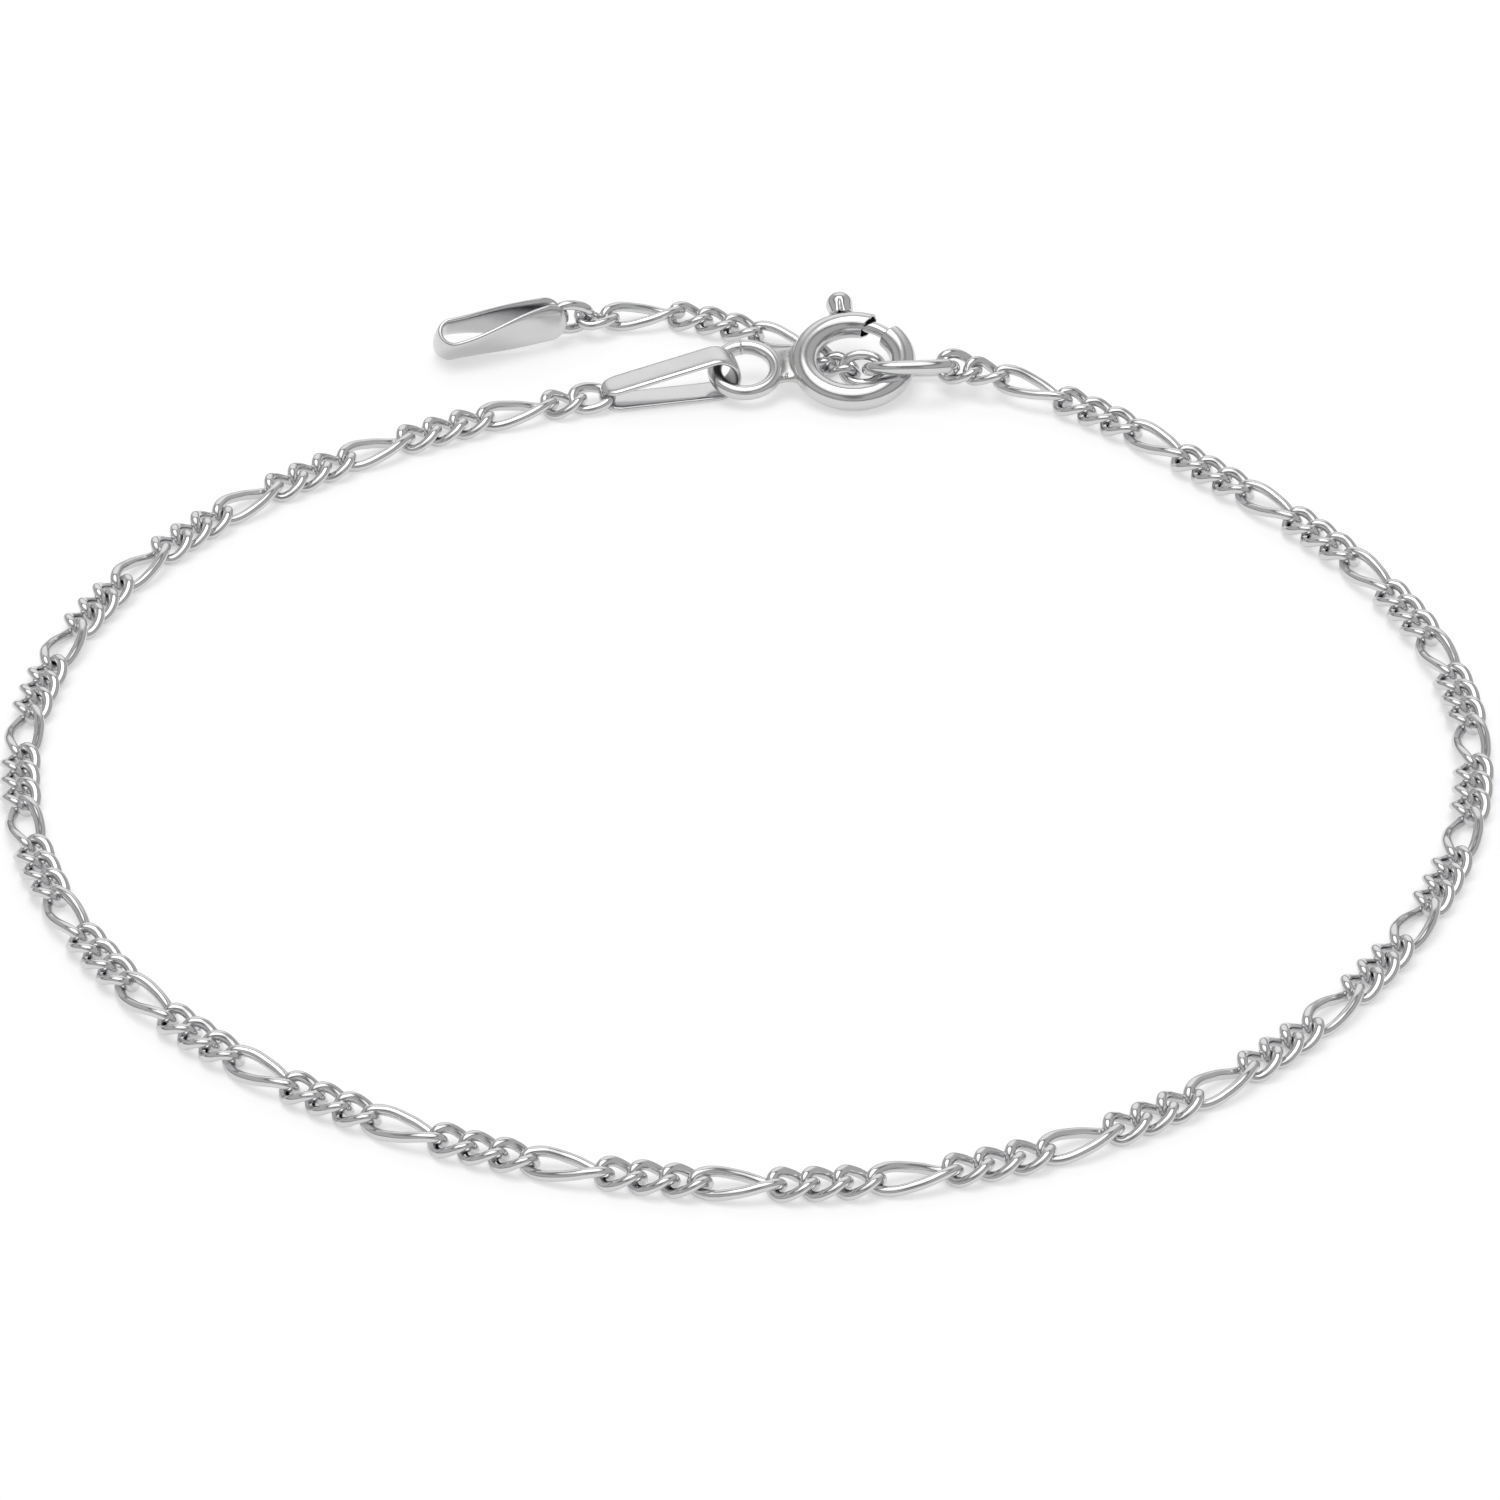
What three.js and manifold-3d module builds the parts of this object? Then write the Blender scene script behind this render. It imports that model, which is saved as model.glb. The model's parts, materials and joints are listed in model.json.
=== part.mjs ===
// A fine silver figaro bracelet: a flattened curb chain of one long link to three short ones,
// closed by a spring ring clasp, with a short extender chain that ends in a folded strip tag.
// Millimetres, +Z up. It lies flat in a ring, resting on z = 0.
import * as THREE from 'three';
import { mergeVertices } from 'three/addons/utils/BufferGeometryUtils.js';
import Module from 'manifold-3d';

const wasm = await Module();
wasm.setup();

const DEG = Math.PI / 180;

// ---- driving dimensions -------------------------------------------------------------------

// the closed loop, seen from above: a circle of this radius with slight waves
const LOOP_RADIUS = 28.41;
const LOOP_WAVES = [
  { order: 2, cosine: 0.07, sine: 0.11 },
  { order: 3, cosine: -0.22, sine: 0.11 },
  { order: 4, cosine: 0.16, sine: 0.01 },
  { order: 5, cosine: 0.10, sine: 0.05 },
];
const FIRST_LINK_ANGLE = 110.2 * DEG; // where the first long link lies on the loop
const LEAD_IN = 0.1; // share of the loop kept free before the first long link
// towards its last link the chain leaves the round and climbs to the connecting ring
const DEPARTURES = [
  { from: 404 * DEG, to: 431 * DEG, outwards: 1.75, up: 0 },
  { from: 421 * DEG, to: 434 * DEG, outwards: -0.35, up: 0.64 },
];
// the first link leans on the tag's edge: its lift, and where the lift ends before the first long link
const ARRIVAL = { lift: 0.04, from: 4 * DEG, to: 8 * DEG };
const LONG_LINKS = 25;
const SHORTS_BETWEEN = 3;

// chain links
const WIRE = 0.40; // wire diameter of a link
const SHORT_PITCH = 1.2225;
const LONG_PITCH = 2.8975;
const SHORT_HALF_WIDTH = 0.61; // centre of the link to the middle of its wire
const LONG_HALF_WIDTH = 0.575;
const LINK_TWIST = 50 * DEG; // each end is turned this far, one way and the other
const SHORT_SQUARENESS = 3.6; // 2 is an ellipse, more is squarer
const LONG_SQUARENESS = 2.8;
const CHAIN_MIDDLE = 0.48; // height of the chain's centre line
const LINK_SIDES = 10;
const WIRE_SIDES = 5;
const WIRE_RADIUS = 0.575 * WIRE; // corner radius of the five-sided wire
const LINK_SINK = 0.045; // links of one run are fused this deep where they bear on each other
const MEETING_PLAY = 0.17; // play where the two runs of the main chain meet
const LINKS_IN_FIRST_RUN = 50;
// links that end a run are rolled, so that they pass through the piece that they hold
const FIRST_LINK = { kind: 'short', startTurn: 0, endTurn: -35 * DEG };
const LAST_LINKS = [
  { kind: 'short', endTurn: -45 * DEG },
  { kind: 'short', startTurn: 20 * DEG, endTurn: -76 * DEG },
];

// extender: where its middle line passes, and the links on it from the connecting ring to the tag
const EXTENDER_LINE = [
  [5.7, 29.27, 0.68],
  [4.755, 28.9, 0.947],
  [3.92, 29.45, 0.65],
  [3.0, 30.35, 0.52],
  [1.5, 31.8, CHAIN_MIDDLE],
  [-0.3, 32.9, CHAIN_MIDDLE],
  [-2.3, 33.85, CHAIN_MIDDLE],
  [-4.2, 34.15, 0.5],
  [-6.27, 33.59, 0.63],
  [-7.98, 32.87, 1.16],
  [-9.45, 32.93, 1.08],
];
const EXTENDER_LINKS = [
  { kind: 'short', startTurn: -61 * DEG, endTurn: -61 * DEG },
  { kind: 'short' },
  { kind: 'short' },
  { kind: 'long' },
  { kind: 'short' },
  { kind: 'short' },
  { kind: 'short' },
  { kind: 'long' },
  { kind: 'short', startTurn: 45 * DEG, endTurn: -20 * DEG },
  { kind: 'short', startTurn: 75 * DEG, endTurn: 97 * DEG },
];
const EXTENDER_START = 1.08; // distance along the line to the middle of the first link

// spring ring clasp, in its own plane about its own centre
const CLASP_CENTRE = new THREE.Vector3(4.36, 29.1, 1.22);
const CLASP_TILT = 16.6 * DEG; // the far side is raised
const RING_RADIUS = 2.085;
const TUBE_RADIUS = 0.54;
const BORE_RADIUS = 0.435;
const MOUTH_FROM = 43 * DEG;
const MOUTH_TO = 73 * DEG;
const BOLT_RADIUS = 0.24;
const BOLT_FROM = 35 * DEG;
const BOLT_BEYOND_KNOB = 6 * DEG;
const KNOB_ANGLE = 100 * DEG;
const KNOB_DISTANCE = 3.45;
const KNOB_RADIUS = 0.57;
const KNOB_NECK_RADIUS = 0.2;
const KNOB_COLLAR = { radius: 0.52, distance: 2.78 }; // the knob is drawn out towards the ring
const BOLT_TRAVEL = 38 * DEG;
const SLOT_CLEARANCE = 0.08;
const END_LOOP = { x: -4.55, y: -0.49, radius: 1.3, wire: 0.63, seam: 0.06 };
const SOLDER = { halfLength: 0.42, halfWidth: 0.8, halfHeight: 0.36, beyondTube: 0.34 };

// oval ring that the clasp holds
const OVAL = { halfLength: 1.79, halfWidth: 1.28, wire: 0.56, squareness: 2.5 };
const OVAL_CENTRE = new THREE.Vector3(6.77, 28.65, 1.13);
const OVAL_TURN = 2 * DEG;
const OVAL_LEAN = -33.4 * DEG; // its short axis runs back and down

// folded strip tags; each has a wide bend at x = 0 and a narrow, slimmer one at the +x end
const STRIP = { thickness: 0.22, slimWidth: 0.45 };
// the tag next to the clasp lies on one long face, its narrow bend on the chain's first link
const CLASP_TAG = {
  length: 6.07, wideBend: 1.02, narrowBend: 0.52, width: 1.4, wideTurn: 0, narrowTurn: 0,
  centre: new THREE.Vector3(-1.43, 28.44, 1.02), heading: 192 * DEG,
};
// the tag at the free end stands on its edge, twisted, its narrow bend raised by the chain
const END_TAG = {
  length: 5.74, wideBend: 0.69, narrowBend: 0.58, width: 1.62, wideTurn: 38 * DEG, narrowTurn: -8 * DEG,
  centre: new THREE.Vector3(-12.47, 31.245, 1.062), heading: 19.4 * DEG, rise: 2 * DEG,
};
const BEND_SEGMENTS = 5;
const WALL_SEGMENTS = 6;

// ---- solids -------------------------------------------------------------------------------

function toSolid(geometry) {
  geometry.deleteAttribute('normal');
  geometry.deleteAttribute('uv');
  const merged = mergeVertices(geometry, 1e-5);
  return new wasm.Manifold(new wasm.Mesh({
    numProp: 3,
    vertProperties: merged.attributes.position.array,
    triVerts: Uint32Array.from(merged.index.array),
  }));
}

function toGeometry(solid) {
  const { vertProperties, triVerts } = solid.getMesh();
  const geometry = new THREE.BufferGeometry();
  geometry.setAttribute('position', new THREE.BufferAttribute(vertProperties, 3));
  geometry.setIndex(new THREE.BufferAttribute(triVerts, 1));
  geometry.computeVertexNormals();
  return geometry;
}

function join(solids) {
  return solids.reduce((whole, solid) => whole.add(solid));
}

// ---- ring of wire that is squarer than an ellipse and may be twisted ------------------------

function signedPower(value, power) {
  return Math.sign(value) * Math.abs(value) ** power;
}

function ovalRing({
  halfLength, halfWidth, squareness, wireRadius, wireSides, sides, startTurn = 0, endTurn = 0,
}) {
  const geometry = new THREE.TorusGeometry(1, 0.5, wireSides, sides);
  const { position, uv } = geometry.attributes;
  const outward = new THREE.Vector2();
  // the first facet lies square across the end, which keeps its place there
  const halfFacet = Math.PI / sides;
  const reachOfEnd = halfLength / Math.cos(halfFacet) ** (2 / squareness);
  for (let i = 0; i < position.count; i += 1) {
    const round = 2 * Math.PI * uv.getX(i) + halfFacet;
    const across = 2 * Math.PI * uv.getY(i) + Math.PI; // a ridge of the wire points inwards
    const along = signedPower(Math.cos(round), 2 / squareness);
    const aside = signedPower(Math.sin(round), 2 / squareness);
    outward.set(
      signedPower(along, squareness - 1) / reachOfEnd,
      signedPower(aside, squareness - 1) / halfWidth,
    ).normalize();
    const reach = wireRadius * Math.cos(across);
    const x = reachOfEnd * along + reach * outward.x;
    const y = halfWidth * aside + reach * outward.y;
    const z = wireRadius * Math.sin(across);
    const turn = THREE.MathUtils.mapLinear(Math.cos(round), -1, 1, startTurn, endTurn);
    position.setXYZ(i, x, y * Math.cos(turn) - z * Math.sin(turn), y * Math.sin(turn) + z * Math.cos(turn));
  }
  return geometry;
}

// ---- chain runs -----------------------------------------------------------------------------

const KINDS = {
  long: { pitch: LONG_PITCH, halfWidth: LONG_HALF_WIDTH, squareness: LONG_SQUARENESS },
  short: { pitch: SHORT_PITCH, halfWidth: SHORT_HALF_WIDTH, squareness: SHORT_SQUARENESS },
};
const BEARING = 2 * WIRE_RADIUS - LINK_SINK; // between the wire centres of links that bear on each other

function linkSolid({ kind, startTurn = LINK_TWIST, endTurn = -LINK_TWIST }, place) {
  const { pitch, halfWidth, squareness } = KINDS[kind];
  const geometry = ovalRing({
    halfLength: (pitch + BEARING) / 2,
    halfWidth,
    squareness,
    wireRadius: WIRE_RADIUS,
    wireSides: WIRE_SIDES,
    sides: LINK_SIDES,
    startTurn,
    endTurn,
  });
  geometry.applyMatrix4(place);
  return toSolid(geometry);
}

// a frame on the curve: x along it, y to its left, z up
function frameOn(curve, distance) {
  const share = distance / curve.getLength();
  const along = curve.getTangentAt(share);
  const left = new THREE.Vector3(0, 0, 1).cross(along).normalize();
  const up = along.clone().cross(left);
  return new THREE.Matrix4().makeBasis(along, left, up).setPosition(curve.getPointAt(share));
}

function chainRun(curve, links, firstDistance) {
  let distance = firstDistance;
  return links.map((link, i) => {
    if (i > 0) distance += (KINDS[links[i - 1].kind].pitch + KINDS[link.kind].pitch) / 2 - (link.play ?? 0);
    return linkSolid(link, frameOn(curve, distance));
  });
}

class WristLoop extends THREE.Curve {
  getPoint(share, target = new THREE.Vector3()) {
    const angle = (share - LEAD_IN) * 2 * Math.PI + FIRST_LINK_ANGLE;
    let radius = LOOP_RADIUS;
    let height = CHAIN_MIDDLE;
    for (const { from, to, outwards, up } of DEPARTURES) {
      const leaving = THREE.MathUtils.smoothstep(angle, from, to);
      radius += outwards * leaving;
      height += up * leaving;
    }
    for (const { order, cosine, sine } of LOOP_WAVES) {
      radius += cosine * Math.cos(order * angle) + sine * Math.sin(order * angle);
    }
    height += ARRIVAL.lift * THREE.MathUtils.smoothstep(FIRST_LINK_ANGLE - angle, ARRIVAL.from, ARRIVAL.to);
    return target.set(radius * Math.cos(angle), radius * Math.sin(angle), height);
  }
}

const wristLoop = new WristLoop();
wristLoop.arcLengthDivisions = 2000;

const mainLinks = [FIRST_LINK, { kind: 'short' }, { kind: 'long' }];
for (let i = 1; i < LONG_LINKS; i += 1) {
  for (let j = 0; j < SHORTS_BETWEEN; j += 1) mainLinks.push({ kind: 'short' });
  mainLinks.push({ kind: 'long' });
}
mainLinks.push(...LAST_LINKS);
mainLinks[LINKS_IN_FIRST_RUN].play = MEETING_PLAY;

const firstDistance = LEAD_IN * wristLoop.getLength() - SHORT_PITCH - (SHORT_PITCH + LONG_PITCH) / 2;
const mainSolids = chainRun(wristLoop, mainLinks, firstDistance);

const extenderLine = new THREE.CatmullRomCurve3(EXTENDER_LINE.map((point) => new THREE.Vector3(...point)));
const extenderSolids = chainRun(extenderLine, EXTENDER_LINKS, EXTENDER_START);

// ---- clasp ----------------------------------------------------------------------------------

class Arc extends THREE.Curve {
  constructor(radius, from, to) {
    super();
    Object.assign(this, { radius, from, to });
  }

  getPoint(share, target = new THREE.Vector3()) {
    const angle = THREE.MathUtils.lerp(this.from, this.to, share);
    return target.set(this.radius * Math.cos(angle), this.radius * Math.sin(angle), 0);
  }
}

function disc(radius, sides) {
  const shape = new THREE.Shape();
  for (let i = 0; i < sides; i += 1) {
    const angle = (2 * Math.PI * i) / sides;
    const method = i ? 'lineTo' : 'moveTo';
    shape[method](radius * Math.cos(angle), radius * Math.sin(angle));
  }
  return shape;
}

function sweep(section, path, steps) {
  return toSolid(new THREE.ExtrudeGeometry(section, { steps, extrudePath: path, bevelEnabled: false }));
}

function claspRing() {
  const section = disc(TUBE_RADIUS, 12);
  section.holes.push(disc(BORE_RADIUS, 6));
  const arc = new Arc(RING_RADIUS, MOUTH_TO, MOUTH_FROM + 2 * Math.PI);
  const tube = sweep(section, arc, 19);

  const slotMargin = Math.asin((KNOB_NECK_RADIUS + SLOT_CLEARANCE) / RING_RADIUS);
  const slotShape = new THREE.Shape();
  const slotFrom = KNOB_ANGLE - slotMargin;
  const slotTo = KNOB_ANGLE + BOLT_TRAVEL + slotMargin;
  slotShape.absarc(0, 0, RING_RADIUS + 2 * TUBE_RADIUS, slotFrom, slotTo, false);
  slotShape.absarc(0, 0, RING_RADIUS, slotTo, slotFrom, true);
  const slotDepth = 2 * (KNOB_NECK_RADIUS + SLOT_CLEARANCE);
  const slot = new THREE.ExtrudeGeometry(slotShape, {
    depth: slotDepth, curveSegments: 5, bevelEnabled: false,
  });
  slot.translate(0, 0, -slotDepth / 2);

  const endLoop = new THREE.TorusGeometry(END_LOOP.radius, END_LOOP.wire / 2, 6, 14);
  endLoop.translate(END_LOOP.x, END_LOOP.y, 0);
  const seam = new THREE.BoxGeometry(END_LOOP.seam, 2 * END_LOOP.wire, 2 * END_LOOP.wire);
  seam.translate(END_LOOP.x, END_LOOP.y + END_LOOP.radius, 0);

  const solder = new THREE.SphereGeometry(1, 8, 4);
  solder.scale(SOLDER.halfLength, SOLDER.halfWidth, SOLDER.halfHeight);
  solder.translate(-RING_RADIUS - TUBE_RADIUS - SOLDER.beyondTube, 0, 0);
  solder.rotateZ(Math.atan2(END_LOOP.y, END_LOOP.x) + Math.PI);

  return join([tube.subtract(toSolid(slot)), toSolid(endLoop).subtract(toSolid(seam)), toSolid(solder)]);
}

// a rod that stands away from the ring, from one distance to another
function pin(radius, from, to) {
  const cylinder = new THREE.CylinderGeometry(radius, radius, to - from, 12);
  cylinder.translate(0, (from + to) / 2, 0);
  return toSolid(cylinder);
}

function claspBolt() {
  const rod = sweep(disc(BOLT_RADIUS, 6), new Arc(RING_RADIUS, BOLT_FROM, KNOB_ANGLE + BOLT_BEYOND_KNOB), 7);
  const neck = pin(KNOB_NECK_RADIUS, RING_RADIUS, KNOB_DISTANCE);
  const collar = pin(KNOB_COLLAR.radius, KNOB_COLLAR.distance, KNOB_DISTANCE);
  const ball = new THREE.SphereGeometry(KNOB_RADIUS, 12, 8);
  ball.translate(0, KNOB_DISTANCE, 0);
  const knob = join([neck, collar, toSolid(ball)]);
  return join([rod, knob.rotate([0, 0, KNOB_ANGLE / DEG - 90])]);
}

// ---- tags -----------------------------------------------------------------------------------

// the straight walls are cut into short lengths, so that they can twist
function addWall(path, from, to) {
  for (let i = 1; i < WALL_SEGMENTS; i += 1) {
    const point = from.clone().lerp(to, i / WALL_SEGMENTS);
    path.lineTo(point.x, point.y);
  }
}

function tagOutline(path, { span, wide, narrow, lean }) {
  const tangent = Math.PI / 2 - lean;
  const out = new THREE.Vector2(Math.cos(tangent), Math.sin(tangent));
  const wideEnd = out.clone().multiplyScalar(wide);
  const narrowEnd = out.clone().multiplyScalar(narrow).setX(span + narrow * out.x);
  path.absarc(0, 0, wide, tangent, 2 * Math.PI - tangent, false);
  addWall(path, wideEnd.clone().setY(-wideEnd.y), narrowEnd.clone().setY(-narrowEnd.y));
  path.absarc(span, 0, narrow, -tangent, tangent, false);
  addWall(path, narrowEnd, wideEnd);
  path.closePath();
  return path;
}

function tagGeometry({ length, wideBend, narrowBend, width, wideTurn, narrowTurn }) {
  const span = length - wideBend - narrowBend;
  const lean = Math.asin((wideBend - narrowBend) / span);
  const shape = tagOutline(new THREE.Shape(), { span, wide: wideBend, narrow: narrowBend, lean });
  shape.holes.push(tagOutline(new THREE.Path(), {
    span, wide: wideBend - STRIP.thickness, narrow: narrowBend - STRIP.thickness, lean,
  }));
  const geometry = new THREE.ExtrudeGeometry(shape, {
    depth: 1, steps: 1, curveSegments: BEND_SEGMENTS, bevelEnabled: false,
  });
  const { position } = geometry.attributes;
  for (let i = 0; i < position.count; i += 1) {
    const x = position.getX(i);
    const y = position.getY(i);
    const slimming = THREE.MathUtils.smoothstep(x, span - narrowBend, span + narrowBend / 2);
    const z = (position.getZ(i) - 0.5) * THREE.MathUtils.lerp(width, STRIP.slimWidth, slimming);
    const turn = THREE.MathUtils.lerp(wideTurn, narrowTurn, THREE.MathUtils.smoothstep(x, 0, span));
    position.setXYZ(i, x, y * Math.cos(turn) - z * Math.sin(turn), y * Math.sin(turn) + z * Math.cos(turn));
  }
  return { geometry, lean };
}

// ---- assembly -------------------------------------------------------------------------------

const silver = new THREE.MeshStandardMaterial({ color: 0xd9d9dc, roughness: 0.12, metalness: 1.0 });
const springSteel = new THREE.MeshStandardMaterial({ color: 0xcfcfd3, roughness: 0.15, metalness: 1.0 });

function piece(name, geometry, material) {
  const mesh = new THREE.Mesh(geometry, material);
  mesh.name = name;
  return mesh;
}

const bracelet = new THREE.Group();

const runs = [mainSolids.slice(0, LINKS_IN_FIRST_RUN), mainSolids.slice(LINKS_IN_FIRST_RUN)];
bracelet.add(piece('chain_left', toGeometry(join(runs[0])), silver));
bracelet.add(piece('chain_right', toGeometry(join(runs[1])), silver));
bracelet.add(piece('extender_chain', toGeometry(join(extenderSolids)), silver));

const clasp = new THREE.Group();
clasp.position.copy(CLASP_CENTRE);
clasp.rotation.x = CLASP_TILT;
clasp.add(piece('clasp_ring', toGeometry(claspRing()), silver));
clasp.add(piece('clasp_bolt', toGeometry(claspBolt()), springSteel));
bracelet.add(clasp);

const oval = piece('connecting_ring', ovalRing({
  ...OVAL,
  wireRadius: OVAL.wire / 2,
  wireSides: 6,
  sides: 12,
}), silver);
oval.position.copy(OVAL_CENTRE);
oval.rotation.set(OVAL_LEAN, 0, OVAL_TURN, 'ZYX');
bracelet.add(oval);

const claspTag = tagGeometry(CLASP_TAG);
const claspTagPiece = piece('tag_link', claspTag.geometry, silver);
claspTagPiece.position.copy(CLASP_TAG.centre);
claspTagPiece.rotation.set(Math.PI / 2, 0, CLASP_TAG.heading, 'ZYX');
claspTagPiece.rotateZ(-claspTag.lean);
bracelet.add(claspTagPiece);

const endTagPiece = piece('end_tag', tagGeometry(END_TAG).geometry, silver);
endTagPiece.position.copy(END_TAG.centre);
endTagPiece.rotation.set(0, -END_TAG.rise, END_TAG.heading, 'ZYX');
bracelet.add(endTagPiece);

// the origin is under the middle of the whole, on the floor
const extent = new THREE.Box3().setFromObject(bracelet, true);
bracelet.position.set(-(extent.min.x + extent.max.x) / 2, -(extent.min.y + extent.max.y) / 2, -extent.min.z);

export default bracelet;
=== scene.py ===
"""Looks of a fine silver figaro bracelet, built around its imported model.

Lengths in the classes are millimetres, and every mesh is scaled to metres when it is finished.
"""
import json
import logging
import math
import random
from dataclasses import dataclass, field
from enum import Enum
from typing import Callable, Sequence

import bmesh
import bpy
from mathutils import Matrix, Vector

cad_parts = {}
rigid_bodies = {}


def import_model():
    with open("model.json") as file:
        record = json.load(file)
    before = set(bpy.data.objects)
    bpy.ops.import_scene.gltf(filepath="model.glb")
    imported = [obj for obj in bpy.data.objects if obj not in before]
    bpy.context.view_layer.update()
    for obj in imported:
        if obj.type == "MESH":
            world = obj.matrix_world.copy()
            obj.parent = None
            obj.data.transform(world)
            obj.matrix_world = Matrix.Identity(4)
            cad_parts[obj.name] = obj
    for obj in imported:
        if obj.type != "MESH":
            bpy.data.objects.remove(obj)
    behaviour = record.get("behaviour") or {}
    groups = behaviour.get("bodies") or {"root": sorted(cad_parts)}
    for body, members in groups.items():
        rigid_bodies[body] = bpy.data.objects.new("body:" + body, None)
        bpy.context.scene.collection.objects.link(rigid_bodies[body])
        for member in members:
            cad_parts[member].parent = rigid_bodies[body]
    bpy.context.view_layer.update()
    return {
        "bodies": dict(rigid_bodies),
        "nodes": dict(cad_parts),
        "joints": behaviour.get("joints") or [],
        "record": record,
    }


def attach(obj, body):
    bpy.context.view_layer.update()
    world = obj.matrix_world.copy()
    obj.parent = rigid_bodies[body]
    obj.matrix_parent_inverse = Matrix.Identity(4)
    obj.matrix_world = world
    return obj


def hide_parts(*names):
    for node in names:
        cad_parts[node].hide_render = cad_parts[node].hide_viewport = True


LOG = logging.getLogger("bracelet")
MM = 0.001
TURN = 2 * math.pi
SEED = 925
# radius of the wire of a unit torus, whose ring has radius 1
UNIT_WIRE = 0.25
# angles and lengths that differ by less count as equal
SLACK = 1e-4
# edges with a sharper fold than this are softened
SHARP_EDGE = math.radians(50)
# the middle of the clasp in the loop's own frame, which has its origin on the floor inside the loop
CLASP_IN_LOOP = (4.36, 29.1, 1.22)


# ---- materials ------------------------------------------------------------------------------


def linear(hex_colour: str) -> tuple[float, float, float, float]:
    """Turns an sRGB hex colour into a linear one.

    Args:
        hex_colour: six hex digits.

    Returns:
        Red, green, blue and alpha, linear.
    """
    channels = (int(hex_colour[i:i + 2], 16) / 255 for i in (0, 2, 4))
    turned = [c / 12.92 if c <= 0.04045 else ((c + 0.055) / 1.055) ** 2.4 for c in channels]
    return (*turned, 1.0)


def add_node(
    tree: bpy.types.NodeTree,
    kind: str,
    settings: dict[str, object] | None = None,
    inputs: dict[str, object] | None = None,
) -> bpy.types.Node:
    """Adds a node with its settings, values and links.

    Args:
        tree: the node tree to add to.
        kind: the node's type name.
        settings: attributes of the node.
        inputs: a value or an output socket for each named input.

    Returns:
        The new node.
    """
    node = tree.nodes.new(kind)
    for name, value in (settings or {}).items():
        setattr(node, name, value)
    for name, value in (inputs or {}).items():
        if isinstance(value, bpy.types.NodeSocket):
            tree.links.new(value, node.inputs[name])
        else:
            node.inputs[name].default_value = value
    return node


@dataclass(frozen=True)
class SilverFinish:
    """A surface of sterling silver, from how it was worked, or a dark copy of it that is painted shade.

    Wear is a soft mottling of the polish, and grain is fine lines or pits in it.
    """

    name: str
    colour: str
    roughness: tuple[float, float]
    wear_mm: float
    grain_mm: tuple[float, float, float]
    grain_depth: float

    def material(self) -> bpy.types.Material:
        """Makes the material, or finds the one that was made before.

        Returns:
            The material.
        """
        if self.name in bpy.data.materials:
            return bpy.data.materials[self.name]
        made = bpy.data.materials.new(self.name)
        made.use_nodes = True
        tree = made.node_tree
        tree.nodes.clear()
        place = add_node(tree, "ShaderNodeTexCoord").outputs["Object"]
        wear = add_node(tree, "ShaderNodeTexNoise", {}, {
            "Vector": place, "Scale": 1 / (self.wear_mm * MM), "Detail": 3.0, "Roughness": 0.6,
        })
        roughness = add_node(tree, "ShaderNodeMapRange", {}, {
            "Value": wear.outputs["Fac"], "From Min": 0.35, "From Max": 0.65,
            "To Min": self.roughness[0], "To Max": self.roughness[1],
        })
        stretched = add_node(tree, "ShaderNodeMapping", {}, {
            "Vector": place, "Scale": tuple(1 / (size * MM) for size in self.grain_mm),
        })
        grain = add_node(tree, "ShaderNodeTexNoise", {}, {
            "Vector": stretched.outputs["Vector"], "Scale": 1.0, "Detail": 2.0,
        })
        relief = add_node(tree, "ShaderNodeBump", {}, {
            "Strength": 1.0, "Distance": self.grain_depth * MM, "Height": grain.outputs["Fac"],
        })
        surface = add_node(tree, "ShaderNodeBsdfPrincipled", {}, {
            "Base Color": linear(self.colour), "Metallic": 1.0,
            "Roughness": roughness.outputs["Result"], "Normal": relief.outputs["Normal"],
        })
        add_node(tree, "ShaderNodeOutputMaterial", {}, {"Surface": surface.outputs["BSDF"]})
        return made


# drawn round wire, tumbled bright: a mirror with a slightly soft edge to each reflection
WIRE_FINISH = SilverFinish(
    "polished_sterling_silver_wire", "D2D2D3", (0.10, 0.17), 0.9, (0.25,) * 3, 0.0008,
)
# rolled and folded strip: flat, bright, with faint lines along the strip from the rollers
STRIP_FINISH = SilverFinish(
    "rolled_sterling_silver_strip", "D0D0D1", (0.16, 0.26), 1.2, (1.2, 0.10, 0.2), 0.0008,
)
# the inner face of the folded strip, painted dark grey and dull: painted shade for the inside of the bend
INSIDE_PAINTED_SHADE = SilverFinish(
    "strip_inside_painted_shade", "8A8988", (0.30, 0.45), 0.8, (0.2,) * 3, 0.0015,
)
# thin tube bent to a ring and buffed: soft broad reflections
TUBE_FINISH = SilverFinish(
    "buffed_sterling_silver_tube", "D2D2D3", (0.16, 0.22), 1.4, (0.3,) * 3, 0.0008,
)
# solder that has flowed and set: a little greyer and pitted
SOLDER_FINISH = SilverFinish("silver_solder", "C6C6C5", (0.18, 0.30), 0.5, (0.2,) * 3, 0.002)
# the inside of the tube, painted near black: painted shade in the bore
BORE_PAINTED_SHADE = SilverFinish("silver_bore_painted_shade", "3A3938", (0.40, 0.60), 0.5, (0.1,) * 3, 0.003)


# ---- making meshes --------------------------------------------------------------------------


class Body(Enum):
    """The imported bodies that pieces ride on."""

    BRACELET = "bracelet"
    BOLT = "bolt"


class Slot(Enum):
    """The record's material slots."""

    SILVER = "silver"
    BOLT = "bolt"


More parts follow.
